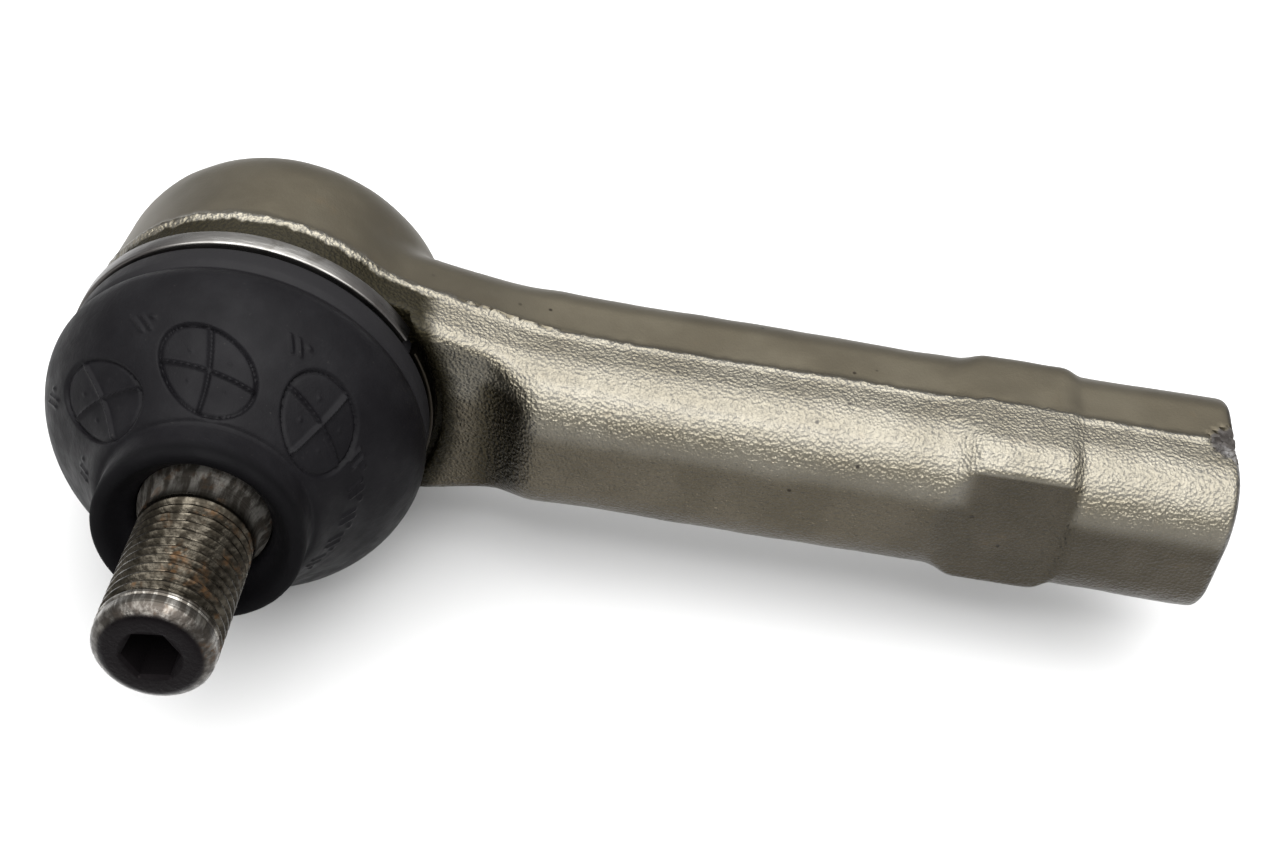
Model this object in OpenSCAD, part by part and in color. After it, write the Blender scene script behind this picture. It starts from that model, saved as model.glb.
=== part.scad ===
// Outer tie rod end: a sealed ball joint at the end of a forged shank.
// The origin is the ball's centre. +X runs along the shank, the housing's axis
// points along -Y towards the stud, and +Z is up with the part lying on its side.

/* [Ball and stud] */
// Diameter of the ball
ball_d = 24; // [22:0.5:24.5]
// Diameter of the stud's thread
stud_thread_d = 12; // [10:0.5:13]
// Length of the stud's threaded stretch
stud_thread_len = 14.6; // [10:0.1:20]
// Length of the plain nose in front of the thread
nose_len = 2.3; // [1.5:0.1:5]
// Diameter of the flat end face
nose_face_d = 9.3; // [8:0.1:10]
// Distance from the ball's centre to the small end of the taper
taper_end = 33.3; // [30:0.1:38]
// Length of the seat taper
taper_len = 15.3; // [12:0.1:17]
// Diameter at the small end of the taper
taper_small_d = 12.8; // [12.4:0.1:13.4]
// Length over which the taper's diameter grows by one
taper_ratio = 8; // [6:1:10]
// Diameter of the neck behind the taper
neck_d = 12.6; // [11:0.1:13]
// Width across flats of the hexagon socket in the end face
socket_af = 5; // [4:0.5:6]
// Depth of the hexagon socket
socket_depth = 5.5; // [3:0.5:8]
// How far the stud leans away from the housing's axis at rest
rest_tilt = 7.2; // [0:0.1:12]
// Which way it leans, counted from up towards the shank
rest_azimuth = 22.8; // [0:0.1:90]

/* [Housing] */
// Diameter of the housing at its parting line
cup_d = 39.2; // [38.4:0.1:42]
// Diameter at the back edge, smaller by the forging draft
cup_back_d = 38.2; // [37:0.1:40]
// Diameter of the bore that holds the two bearing halves
cup_bore_d = 29.2; // [28.8:0.1:30]
// Diameter of the mouth that the stud swings in
mouth_d = 24; // [23.4:0.1:25]
// Distance from the ball's centre to the front of the mouth
mouth_front = 8.8; // [8.5:0.1:10]
// Distance from the ball's centre to the back of the rolled lip
cup_back = 15.3; // [15:0.1:17]

/* [Shank] */
// Distance from the ball's centre to the end of the shank
shank_end = 108; // [95:1:130]
// Height of the shank
shank_h = 20; // [19:0.1:22]
// Depth of the shank, front to back
shank_w = 20.4; // [19:0.1:22]
// Radius of the shank's four long edges
shank_edge_r = 6.5; // [3:0.1:8]
// Thickness of the web between the housing and the shank
web_w = 12.2; // [10:0.1:16]
// Width across the two wrench flats
wrench_af = 19; // [18:0.1:20]
// Length of the wrench flats along the shank
wrench_len = 11.5; // [8:0.5:16]
// Core diameter of the thread in the shank
rod_core_d = 12.38; // [10:0.01:14.5]
// Depth of the threaded hole
rod_hole_depth = 58; // [30:1:65]

/* [Boot] */
// Largest diameter of the boot
boot_d = 41.8; // [41:0.1:44]
// Diameter of the boot's small end
collar_d = 20.6; // [18:0.1:22]
// Distance from the ball's centre to the boot's front face
collar_front = 33.5; // [31:0.1:36]
// Thickness of the boot's wall
boot_wall = 1.6; // [1.2:0.1:2.4]
// Width of the clip band
clip_w = 2; // [1.5:0.1:3]
// Thickness of the clip band
clip_t = 0.9; // [0.5:0.1:1.2]

/* [Hidden] */
$fn = 96;
hull_fn = 32;
cut = 0.01;
far = 40;

// Fits
slip = 0.05;
ball_r = ball_d / 2;
bore_r = cup_bore_d / 2;
race_r = bore_r - slip;
seat_r = ball_r + slip;

// Stud, measured along its own axis from the ball's centre
ball_flat = 9.8;
taper_start = taper_end - taper_len;
taper_big_r = taper_small_d / 2 + taper_len / taper_ratio / 2;
thread_start = taper_end + 0.4;
thread_end = thread_start + stud_thread_len;
stud_end = thread_end + nose_len;
nose_chamfer = 0.9;
nose_r = stud_thread_d / 2 - 0.25;
neck_end = 14;

// Housing, measured along its axis from the ball's centre, + towards the stud
parting = 0.5;
front_shoulder = 4.2;
spigot_r = 17.2;
spigot_lip_r = 17.9;
spigot_lip_start = 7.6;
boot_room_r = 21.3;
edge_start = -10.3;
edge_steps = 6;
rolled_lip_t = 0.85;
rolled_lip_r = 14.9;
cover_r = 15.9;
cover_t = 1.65;
cover_back = rolled_lip_t - cup_back;
cover_front = cover_back + cover_t;
race_front = 6.4;
race_split = 0.15;
race_back = -11.6;

// Neck of the forging, along X
web_start_x = 12;
web_end_x = 30;
web_start_h = 28.8;
ramp_start_x = 25.5;
ramp_end_x = 31;
wrench_x = 79.5;
wrench_boss_d = 25;
wrench_h = 20.6;
end_chamfer = 1.4;
hole_chamfer = 1.1;
drill_tip = 3;

// Boot, along the housing's axis up to the bulge and then along the stud's
boot_r = boot_d / 2;
collar_r = collar_d / 2;
bead_start = 4.4;
bead_end = 7.2;
bead_r = 19.5;
boot_root_r = 20.2;
bulge_at = 13.3;
bulge_end = 18;
bulge_end_r = 19.6;
collar_back = 30.4;
collar_flare_r = collar_r + 0.5;
lip_back = 28.4;
lip_r = 6.9;
lip_recess_r = 8.7;
lip_recess = 2.6;
ring_start = 28.9;
ring_w = 1.2;
ring_in_r = 7.6;
ring_out_r = 8.5;
clip_start = 4.8;
clip_in_r = bead_r + slip;
clip_gap = 2;
clip_gap_angle = 30;

// Turns a shape made along +Z onto the housing's axis.
module on_cup_axis() {
    rotate([90, 0, 0]) children();
}

// Turns a shape made along +Z onto the stud's axis as it leans at rest.
module on_stud_axis() {
    on_cup_axis() rotate([0, 0, -rest_azimuth]) rotate([-rest_tilt, 0, 0]) children();
}

// A disc of a given radius between two distances along +Z.
module disc(r, from, to) {
    translate([0, 0, from]) cylinder(r = r, h = to - from);
}

// A tube between two distances along +Z.
module tube(r_out, r_in, from, to) {
    difference() {
        disc(r_out, from, to);
        disc(r_in, from - cut, to + cut);
    }
}

// Lays a shape made along +Z along +X, starting at x.
module along_x(x) {
    translate([x, 0, 0]) rotate([0, 90, 0]) children();
}

// A rectangle with round corners, as exact arcs: h along X and w along Y.
module round_rect(h, w, r) {
    square([h - 2 * r, w], center = true);
    square([h, w - 2 * r], center = true);
    for (sx = [-1, 1], sy = [-1, 1])
        translate([sx * (h / 2 - r), sy * (w / 2 - r)]) circle(r = r);
}

// Outline of the cup, as radius and distance along its axis.
function cup_outline() = [
    [0, mouth_front],
    [spigot_lip_r - 0.5, mouth_front],
    [spigot_lip_r, mouth_front - 0.5],
    [spigot_lip_r, spigot_lip_start],
    [spigot_r, spigot_lip_start - 0.4],
    [spigot_r, front_shoulder],
    [cup_d / 2 - 0.8, front_shoulder],
    [cup_d / 2 - 0.3, front_shoulder - 0.6],
    [cup_d / 2, parting],
    for (i = [0 : edge_steps])
        let (a = 90 * i / edge_steps)
        [rolled_lip_r + 1.6 + (cup_back_d / 2 - rolled_lip_r - 1.6) * cos(a),
         edge_start - (cup_back + edge_start) * sin(a)],
    [0, -cup_back]
];

// The web, tapering from the cup to the shank.
module web() {
    rotate([90, 0, 0])
        linear_extrude(web_w, center = true)
            polygon([
                [0, -web_start_h / 2], [web_start_x, -web_start_h / 2], [web_end_x, -shank_h / 2],
                [ramp_end_x + 1, -shank_h / 2], [ramp_end_x + 1, shank_h / 2],
                [web_end_x, shank_h / 2], [web_start_x, web_start_h / 2], [0, web_start_h / 2]
            ]);
}

// The ramp on both faces where the shank grows out of the web.
module ramp() {
    hull() {
        along_x(ramp_start_x) linear_extrude(cut)
            round_rect(shank_h - 1, web_w, 2, $fn = hull_fn);
        along_x(ramp_end_x) linear_extrude(cut)
            round_rect(shank_h, shank_w, shank_edge_r, $fn = hull_fn);
    }
}

// The straight shank, with its end edge broken all round.
module shank() {
    diagonal = norm([shank_h, shank_w]) / 2 - shank_edge_r * (sqrt(2) - 1);
    intersection() {
        along_x(ramp_end_x) linear_extrude(shank_end - ramp_end_x)
            round_rect(shank_h, shank_w, shank_edge_r);
        along_x(0) rotate_extrude()
            polygon([[0, 0], [diagonal, 0], [diagonal, shank_end - end_chamfer],
                     [diagonal - end_chamfer, shank_end], [0, shank_end]]);
    }
}

// The boss that stands proud where the wrench flats are.
module wrench_boss() {
    intersection() {
        along_x(wrench_x) cylinder(d = wrench_boss_d, h = wrench_len);
        translate([wrench_x - cut, -far / 2, -wrench_h / 2])
            cube([wrench_len + 2 * cut, far, wrench_h]);
    }
}

// What the two wrench flats take away.
module wrench_flats() {
    for (y = [-wrench_af / 2 - far, wrench_af / 2])
        translate([wrench_x, y, -far / 2]) cube([wrench_len, far, far]);
}

// Everything behind the cup's shoulder, cut back to leave room for the boot and its clip.
module arm() {
    difference() {
        union() {
            web();
            ramp();
            shank();
            wrench_boss();
        }
        wrench_flats();
        on_cup_axis() disc(boot_room_r, front_shoulder, far);
    }
}

// The space inside the cup: mouth, bore, cover seat and rolled lip.
module cup_space() {
    disc(mouth_d / 2, race_front, mouth_front + cut);
    disc(bore_r, cover_front - cut, race_front + slip * 2);
    disc(cover_r + slip, cover_back, cover_front);
    disc(rolled_lip_r, -cup_back - cut, cover_back + cut);
}

// The threaded hole with its entry chamfer and drill tip.
module rod_hole() {
    core_r = rod_core_d / 2;
    hole_start = shank_end - rod_hole_depth;
    along_x(hole_start) cylinder(r = core_r, h = rod_hole_depth + cut);
    along_x(hole_start - drill_tip) cylinder(r1 = 0.2, r2 = core_r, h = drill_tip + cut);
    along_x(shank_end - hole_chamfer)
        cylinder(r1 = core_r, r2 = core_r + hole_chamfer + cut, h = hole_chamfer + cut);
}

// Forged housing: cup, web and shank in one piece.
module housing() {
    color([0.47, 0.44, 0.36]) difference() {
        union() {
            on_cup_axis() rotate_extrude() polygon(cup_outline());
            arm();
        }
        on_cup_axis() cup_space();
        rod_hole();
    }
}

// Steel plate that closes the back of the cup under the rolled lip.
module cover_plate() {
    dish_r = 10.5;
    dish_depth = 0.6;
    color([0.5, 0.49, 0.45]) on_cup_axis() difference() {
        disc(cover_r, cover_back + slip, cover_front - slip);
        disc(dish_r, cover_back, cover_back + slip + dish_depth);
    }
}

// Dished spring washer that presses the lower race against the ball.
module preload_spring() {
    spring_in_r = 6;
    spring_out_r = 12.5;
    spring_t = 0.6;
    color([0.35, 0.36, 0.38]) on_cup_axis() rotate_extrude()
        polygon([[spring_in_r, race_back - slip], [spring_out_r, cover_front + spring_t],
                 [spring_out_r, cover_front], [spring_in_r, race_back - slip - spring_t]]);
}

// Back half of the plastic bearing; the seat breaks through it as a grease hole.
module lower_race() {
    color([0.88, 0.87, 0.82]) on_cup_axis() difference() {
        disc(race_r, race_back, -race_split);
        sphere(r = seat_r);
    }
}

// Front half of the plastic bearing, open for the stud.
module upper_race() {
    color([0.88, 0.87, 0.82]) on_cup_axis() difference() {
        disc(race_r, race_split, race_front);
        sphere(r = seat_r);
    }
}

// Outline of the stud in front of the ball, as radius and distance.
function stud_outline() = [
    [0, 0],
    [neck_d / 2, 0],
    [neck_d / 2, neck_end],
    [taper_big_r - 0.4, taper_start - 0.9],
    [taper_big_r, taper_start],
    [taper_small_d / 2, taper_end],
    [stud_thread_d / 2, thread_start],
    [stud_thread_d / 2, thread_end],
    [nose_r, thread_end + 0.15],
    [nose_r, stud_end - nose_chamfer],
    [nose_face_d / 2, stud_end],
    [0, stud_end]
];

// Ball, neck, seat taper and thread in one piece of steel.
module ball_stud() {
    color([0.6, 0.58, 0.55]) on_stud_axis() difference() {
        union() {
            intersection() {
                sphere(r = ball_r);
                disc(ball_r + 1, -ball_flat, ball_r + 1);
            }
            rotate_extrude() polygon(stud_outline());
        }
        translate([0, 0, stud_end - socket_depth])
            cylinder(d = socket_af / cos(30), h = socket_depth + cut, $fn = 6);
    }
}

// Skin of the boot at a given inset from its outside: round at the housing,
// leaning over to the stud's axis at the small end.
module boot_skin(inset) {
    hull() {
        on_cup_axis() {
            disc(boot_root_r - inset, bead_end - cut, bead_end, $fn = 2 * hull_fn);
            disc(boot_r - inset, bulge_at - 1, bulge_at + 1, $fn = 2 * hull_fn);
            disc(bulge_end_r - inset, bulge_end - cut, bulge_end, $fn = 2 * hull_fn);
        }
        on_stud_axis() disc(collar_flare_r - inset, collar_back - cut, collar_back, $fn = 2 * hull_fn);
    }
}

// Rubber dust boot, clamped at its large end and sealed round the taper.
module boot() {
    color([0.09, 0.09, 0.1]) {
        difference() {
            union() {
                boot_skin(0);
                on_cup_axis() disc(bead_r, bead_start, bead_end);
                on_stud_axis() disc(collar_r, lip_back, collar_front);
            }
            difference() {
                boot_skin(boot_wall);
                on_stud_axis() disc(collar_r + 1, lip_back, collar_front);
            }
            on_cup_axis() disc(spigot_r + slip, bead_start - cut, bead_end);
            on_cup_axis() disc(spigot_lip_r + 4 * slip, spigot_lip_start - 0.4, bead_end + 1);
            on_stud_axis() {
                disc(lip_r, lip_back - 1, collar_front + cut);
                disc(ring_out_r + slip, lip_back - 1, ring_start + ring_w + slip);
                translate([0, 0, collar_front - lip_recess])
                    cylinder(r1 = lip_r, r2 = lip_recess_r, h = lip_recess + cut);
            }
        }
    }
}

// Flat spring band that clamps the boot's bead on the housing.
module boot_clip() {
    color([0.55, 0.54, 0.52]) on_cup_axis() difference() {
        tube(clip_in_r + clip_t, clip_in_r, clip_start, clip_start + clip_w);
        rotate([0, 0, clip_gap_angle])
            translate([0, -clip_gap / 2, clip_start - cut])
                cube([far, clip_gap, clip_w + 2 * cut]);
    }
}

// Steel ring that stiffens the boot's small end.
module lip_ring() {
    color([0.45, 0.45, 0.46]) on_stud_axis()
        tube(ring_out_r, ring_in_r, ring_start, ring_start + ring_w);
}

housing();
cover_plate();
preload_spring();
lower_race();
upper_race();
ball_stud();
boot();
boot_clip();
lip_ring();
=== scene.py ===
"""Looks of an outer tie rod end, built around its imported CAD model.

Shapes are worked out in millimetres and become metres when their mesh is made.
Distances called height run along an axis from the ball's centre towards the stud.
"""
import math

import bpy
import numpy as np
from mathutils import Matrix, Vector


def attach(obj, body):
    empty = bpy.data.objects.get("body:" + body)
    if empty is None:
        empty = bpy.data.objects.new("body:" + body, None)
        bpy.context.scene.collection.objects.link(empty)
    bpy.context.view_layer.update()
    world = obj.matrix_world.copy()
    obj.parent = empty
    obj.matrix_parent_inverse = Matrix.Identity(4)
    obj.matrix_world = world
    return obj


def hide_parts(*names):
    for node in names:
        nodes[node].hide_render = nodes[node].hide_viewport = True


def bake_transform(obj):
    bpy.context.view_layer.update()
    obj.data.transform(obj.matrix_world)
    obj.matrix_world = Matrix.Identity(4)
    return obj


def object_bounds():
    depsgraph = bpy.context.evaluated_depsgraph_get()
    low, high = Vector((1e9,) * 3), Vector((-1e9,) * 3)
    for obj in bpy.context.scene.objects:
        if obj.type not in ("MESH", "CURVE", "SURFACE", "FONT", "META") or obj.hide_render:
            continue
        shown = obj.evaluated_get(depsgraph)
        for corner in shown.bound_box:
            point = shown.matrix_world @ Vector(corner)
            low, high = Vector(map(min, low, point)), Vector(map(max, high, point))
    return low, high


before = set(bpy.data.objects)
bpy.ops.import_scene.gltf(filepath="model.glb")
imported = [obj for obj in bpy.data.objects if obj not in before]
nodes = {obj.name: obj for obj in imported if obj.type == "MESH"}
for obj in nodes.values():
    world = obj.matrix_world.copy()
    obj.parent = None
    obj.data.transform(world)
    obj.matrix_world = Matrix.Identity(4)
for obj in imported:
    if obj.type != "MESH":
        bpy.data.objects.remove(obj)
cad_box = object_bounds()

MM = 0.001

# Lean of the stud at rest, and the two axes that everything round is built on
REST_TILT = math.radians(7.2)
REST_AZIMUTH = math.radians(22.8)
CUP = Matrix.Rotation(math.pi / 2, 4, "X")
STUD = CUP @ Matrix.Rotation(-REST_AZIMUTH, 4, "Z") @ Matrix.Rotation(-REST_TILT, 4, "X")

# Housing
PARTING_Y = -0.6
RIDGE_PROUD, RIDGE_WIDTH = 0.22, 0.40
CUP_R = 19.6
CUP_BACK = 15.3
CUP_BACK_ROUND = 7.4
CUP_FRONT = 4.2
CUP_WIDEST = 0.5
DRAFT_BACK, DRAFT_FRONT = 0.046, 0.26
SPIGOT_R = 17.2
SPIGOT_END = 8.8
SPIGOT_LIP_R, SPIGOT_LIP_AT, SPIGOT_LIP_HALF = 17.9, 8.2, 0.6
BORE_R, BORE_END = 14.6, 6.5
MOUTH_R = 12.0
COVER_SEAT_R, COVER_SEAT_AT, COVER_SEAT_HALF = 15.95, -13.6, 0.85
BACK_OPENING_R, BACK_OPENING_AT = 14.9, -14.3
COVER_BACK, COVER_THICK = -14.1, 1.5
SHANK_END = 108.0
END_BEVEL_R = 11.55
BOOT_ROOM_R = 21.3
ARM_START, ARM_CLEAR_R = 4.0, 17.0
SHANK_HALF_HEIGHT = 10.0
SHANK_HALF_DEPTH = 10.2
SHANK_EDGE_R = 6.5
WEB_HALF_DEPTH = 6.1
WEB_EDGE_R = 1.6
WEB_DRAFT = 0.10
RAMP_START, RAMP_END = 24.8, 31.4
FLARE_START, FLARE_SLOPE, FLARE_SOFT = 30.0, 0.26, 1.2
NECK_X, NECK_LENGTH, NECK_SWELL_BACK, NECK_SWELL_FRONT = 27.5, 6.5, 0.55, 0.15
BOSS_START, BOSS_FULL, BOSS_END = 72.0, 80.5, 91.0
BOSS_ROOT_R, BOSS_RISE = 9.6, 3.0
BOSS_ROOT_HALF, BOSS_TOP_RISE = 9.4, 1.05
WRENCH_HALF = 9.5
WRENCH_RUN_OUT = 1.4
ROD_MAJOR_R, ROD_MINOR_R, ROD_PITCH = 7.0, 6.2, 1.5
ROD_HOLE_START = 50.0
DRILL_SLOPE, DRILL_DEPTH = 2.0, 3.2
ENTRY_CHAMFER = 0.9
CHIP_PLACE, CHIP_REACH = (107.4, -0.6, 10.0), (2.1, 2.3, 0.9)

# Stud
BALL_R = 12.0
BALL_FLAT = 9.8
THREAD_START, THREAD_END = 33.7, 48.3
THREAD_R, THREAD_DEPTH, THREAD_PITCH = 6.0, 0.62, 1.25
STUD_END = 50.6
SOCKET_R = 5.0 / 2
SOCKET_DEPTH = 5.5

# Boot
COLLAR_FRONT = 33.5
LEAN_START, LEAN_END = 9.0, 30.0
CLIP_GAP_ANGLE = 30
# The medallions are evenly spaced round the boot. Angles are in degrees, heights along the axis.
MEDALLION_ANGLES = tuple(60 + 50 * turn for turn in range(3))
MEDALLION_HEIGHT = 24.0
MEDALLION_R, MEDALLION_TALL = 5.0, 5.6
MEDALLION_TURN = -16


# ---------------------------------------------------------------- numbers

def smooth(value, start, end):
    """0 before start, 1 after end, and an S curve between them."""
    t = np.clip((value - start) / (end - start), 0, 1)
    return t * t * (3 - 2 * t)


def bump(value, width):
    """A bell of height 1 around 0."""
    return np.exp(-(value / width) ** 2)


def soft_min(a, b, blend):
    """The smaller of two fields, with a round fillet where they meet."""
    t = np.clip(0.5 + 0.5 * (b - a) / blend, 0, 1)
    return b + (a - b) * t - blend * t * (1 - t)


def soft_max(a, b, blend):
    """The larger of two fields, with a round edge where they meet."""
    return -soft_min(-a, -b, blend)


def noise(points, size, seed):
    """Smooth noise from -1 to 1 whose features are about size apart."""
    table = np.random.default_rng(seed).uniform(-1, 1, (32, 32, 32))
    cell = np.asarray(points) / size
    base = np.floor(cell).astype(int)
    part = cell - base
    part = part * part * (3 - 2 * part)
    total = np.zeros(len(cell))
    for corner in np.ndindex(2, 2, 2):
        index = (base + corner) % 32
        weight = np.prod(np.where(np.array(corner) == 1, part, 1 - part), axis=1)
        total += weight * table[index[:, 0], index[:, 1], index[:, 2]]
    return total


def smooth_line(points, step):
    """A line through the points, rounded between them, with a point about every step."""
    points = np.array(points, float)
    ends = np.vstack([2 * points[0] - points[1], points, 2 * points[-1] - points[-2]])
    line = []
    for a, b, c, d in zip(ends[:-3], ends[1:-2], ends[2:-1], ends[3:]):
        count = max(1, int(round(np.linalg.norm(c - b) / step)))
        for t in np.arange(count) / count:
            line.append(0.5 * (2 * b + (c - a) * t + (2 * a - 5 * b + 4 * c - d) * t ** 2
                               + (3 * b - a - 3 * c + d) * t ** 3))
    return np.array(line + [points[-1]])


def arc(centre, radius, start, end, count):
    """Points on an arc in the (radius, height) plane, with its angles in degrees."""
    angles = np.radians(np.linspace(start, end, count))
    return [(centre[0] + radius * math.cos(a), centre[1] + radius * math.sin(a)) for a in angles]


# ---------------------------------------------------------------- meshes

def new_object(name, points, faces, sharp=35):
    """An object from points in millimetres, smooth except where its faces meet sharply."""
    mesh = bpy.data.meshes.new(name)
    mesh.from_pydata((np.asarray(points) * MM).tolist(), [], faces)
    mesh.validate()
    mesh.shade_smooth()
    mesh.set_sharp_from_angle(angle=math.radians(sharp))
    obj = bpy.data.objects.new(name, mesh)
    bpy.context.scene.collection.objects.link(obj)
    return obj


def ring_object(name, rings, loop=False, sharp=35):
    """An object from rings of points. A loop closes on itself; otherwise fans close both ends."""
    rings = np.asarray(rings)
    count, around = rings.shape[:2]
    index = np.arange(count * around).reshape(count, around)
    if loop:
        index = np.vstack([index, index[:1]])
    a, b = index[:-1], index[1:]
    quads = np.stack([a, np.roll(a, -1, 1), np.roll(b, -1, 1), b], -1).reshape(-1, 4)
    points = rings.reshape(-1, 3)
    faces = quads.tolist()
    if not loop:
        points = np.vstack([points, rings[0].mean(0), rings[-1].mean(0)])
        for pole, ring, step in ((-2, index[0], -1), (-1, index[-1], 1)):
            pole_index = len(points) + pole
            faces += [[pole_index, int(p), int(q)] if step > 0 else [pole_index, int(q), int(p)]
                      for p, q in zip(ring, np.roll(ring, -1))]
    corner = points[quads]
    volume = np.einsum("ij,ij->i", corner[:, 0], np.cross(corner[:, 1], corner[:, 2])).sum()
    volume += np.einsum("ij,ij->i", corner[:, 0], np.cross(corner[:, 2], corner[:, 3])).sum()
    if volume < 0:
        faces = [face[::-1] for face in faces]
    return new_object(name, points, faces, sharp)


def lathe(profile, around, radius=None):
    """Rings from a (radius, height) profile; radius(r, h, angle) may vary it round the axis."""
    angle = np.arange(around) * 2 * np.pi / around
    r, h = np.asarray(profile)[:, :1], np.asarray(profile)[:, 1:]
    turned = np.broadcast_to(r, (len(r), around)) if radius is None else radius(r, h, angle)
    return np.stack([turned * np.cos(angle), turned * np.sin(angle), h + 0 * turned], -1)


def place(obj, matrix):
    """Puts an object made along +Z on one of the two axes."""
    obj.matrix_world = matrix
    return obj


def surface_net(field, low, step):
    """Points and quads of the surface where a sampled field is zero; it is negative inside."""
    inside = field < 0
    cells_shape = np.array(field.shape) - 1
    held = np.zeros(cells_shape, int)
    for corner in np.ndindex(2, 2, 2):
        held += inside[tuple(slice(c, c + n) for c, n in zip(corner, cells_shape))]
    active = (held > 0) & (held < 8)
    cells = np.argwhere(active)
    number = np.full(cells_shape, -1)
    number[active] = np.arange(len(cells))
    total, hits = np.zeros((len(cells), 3)), np.zeros(len(cells))
    for axis in range(3):
        along = np.eye(3, dtype=int)[axis]
        side_a, side_b = np.eye(3, dtype=int)[(axis + 1) % 3], np.eye(3, dtype=int)[(axis + 2) % 3]
        for shift in (0 * side_a, side_a, side_b, side_a + side_b):
            start = cells + shift
            v0, v1 = field[tuple(start.T)], field[tuple((start + along).T)]
            crossed = (v0 < 0) != (v1 < 0)
            t = v0[crossed] / (v0[crossed] - v1[crossed])
            total[crossed] += start[crossed] + t[:, None] * along
            hits[crossed] += 1
    points = np.array(low) + step * total / hits[:, None]
    quads = []
    for axis in range(3):
        side_a, side_b = np.eye(3, dtype=int)[(axis + 1) % 3], np.eye(3, dtype=int)[(axis + 2) % 3]
        before = np.take(inside, range(field.shape[axis] - 1), axis)
        after = np.take(inside, range(1, field.shape[axis]), axis)
        edges = np.argwhere(before != after)
        edges = edges[np.all((edges > 0) | (np.arange(3) == axis), axis=1)]
        edges = edges[np.all((edges < cells_shape) | (np.arange(3) == axis), axis=1)]
        around = [number[tuple((edges - s).T)] for s in (side_a + side_b, side_b, 0 * side_a, side_a)]
        quad = np.stack(around, -1)
        flip = ~before[tuple(edges.T)]
        quad[flip] = quad[flip][:, ::-1]
        quads.append(quad)
    return points, np.vstack(quads)


# ---------------------------------------------------------------- housing

def cup_field(x, y, z):
    """The round cup with its spigot, hollow inside, and a crimped lip at the back."""
    height, radius = -y, np.sqrt(x * x + z * z)
    draft = np.where(height < CUP_WIDEST, (CUP_WIDEST - height) * DRAFT_BACK,
                     (height - CUP_WIDEST) * DRAFT_FRONT)
    ridge = RIDGE_PROUD * bump(y - PARTING_Y, RIDGE_WIDTH)
    side = radius - (CUP_R - draft + ridge)
    solid = soft_max(side, -height - CUP_BACK, CUP_BACK_ROUND)
    solid = soft_max(solid, height - CUP_FRONT, 0.7)
    spigot = np.maximum(np.maximum(radius - SPIGOT_R, height - SPIGOT_END), -height)
    lip = np.maximum(radius - SPIGOT_LIP_R, np.abs(height - SPIGOT_LIP_AT) - SPIGOT_LIP_HALF)
    solid = np.minimum(solid, np.minimum(spigot, lip))
    bore = np.maximum(radius - BORE_R, height - BORE_END)
    mouth = np.maximum(radius - MOUTH_R, -height)
    seat = np.maximum(radius - COVER_SEAT_R, np.abs(height - COVER_SEAT_AT) - COVER_SEAT_HALF)
    opening = soft_max(radius - BACK_OPENING_R, height - BACK_OPENING_AT, 0.3)
    space = np.minimum(np.minimum(bore, mouth), np.minimum(seat, opening))
    return soft_max(solid, -space, 0.35)


def arm_field(x, y, z):
    """The web and the shank: a round-cornered section whose size changes along X."""
    ramp = smooth(x, RAMP_START, RAMP_END + 1.2) ** 1.5
    flare = FLARE_SLOPE * np.logaddexp(0, (FLARE_START - x) / FLARE_SOFT) * FLARE_SOFT
    off = y - PARTING_Y
    draft = WEB_DRAFT * np.abs(off) * (1 - ramp)
    swell = np.where(off > 0, NECK_SWELL_BACK, NECK_SWELL_FRONT) * bump(x - NECK_X, NECK_LENGTH)
    half_height = SHANK_HALF_HEIGHT + flare - draft + swell
    front_depth = WEB_HALF_DEPTH + (SHANK_HALF_DEPTH - WEB_HALF_DEPTH) * ramp
    back_depth = SHANK_HALF_DEPTH - 0.7 * smooth(-x, -RAMP_END - 8, -14)
    half_depth = np.where(y < 0, front_depth, back_depth)
    edge = np.where(y < 0, WEB_EDGE_R + (SHANK_EDGE_R - WEB_EDGE_R) * ramp, SHANK_EDGE_R - 0.8)
    out_z = np.abs(z) - half_height + edge
    out_y = np.abs(y) - half_depth + edge
    beyond = np.hypot(np.maximum(out_z, 0), np.maximum(out_y, 0))
    section = beyond + np.minimum(np.maximum(out_z, out_y), 0) - edge
    return section - RIDGE_PROUD * bump(off, RIDGE_WIDTH)


def boss_field(x, y, z):
    """The boss that stands proud above and below the wrench flats, with a long run-out."""
    grown = smooth(x, BOSS_START, BOSS_FULL) ** 1.5
    radius = np.hypot(y, z) - (BOSS_ROOT_R + BOSS_RISE * grown)
    tops = np.abs(z) - (BOSS_ROOT_HALF + BOSS_TOP_RISE * grown)
    block = soft_max(radius, tops, 0.8)
    return soft_max(soft_max(block, x - BOSS_END, 2.4), BOSS_START - x, 1.0)


def flats_field(x, y):
    """How far a point lies outside the two wrench flats, which run out to nothing at their ends."""
    open_left = 1 - smooth(x, BOSS_START + 1.5, BOSS_FULL)
    open_right = smooth(x, BOSS_END - 1.0, BOSS_END + 2.0)
    return np.abs(y) - (WRENCH_HALF + WRENCH_RUN_OUT * (open_left + open_right))


def chip_field(x, y, z):
    """A ragged bite out of the end of the shank."""
    (px, py, pz), (rx, ry, rz) = CHIP_PLACE, CHIP_REACH
    ragged = 0.35 * np.sin(3.1 * x + 1.0) * np.sin(4.3 * y) + 0.25 * np.sin(5.7 * y + 2.9 * x)
    return np.sqrt(((x - px) / rx) ** 2 + ((y - py) / ry) ** 2 + ((z - pz) / rz) ** 2) - 1 + ragged


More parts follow.
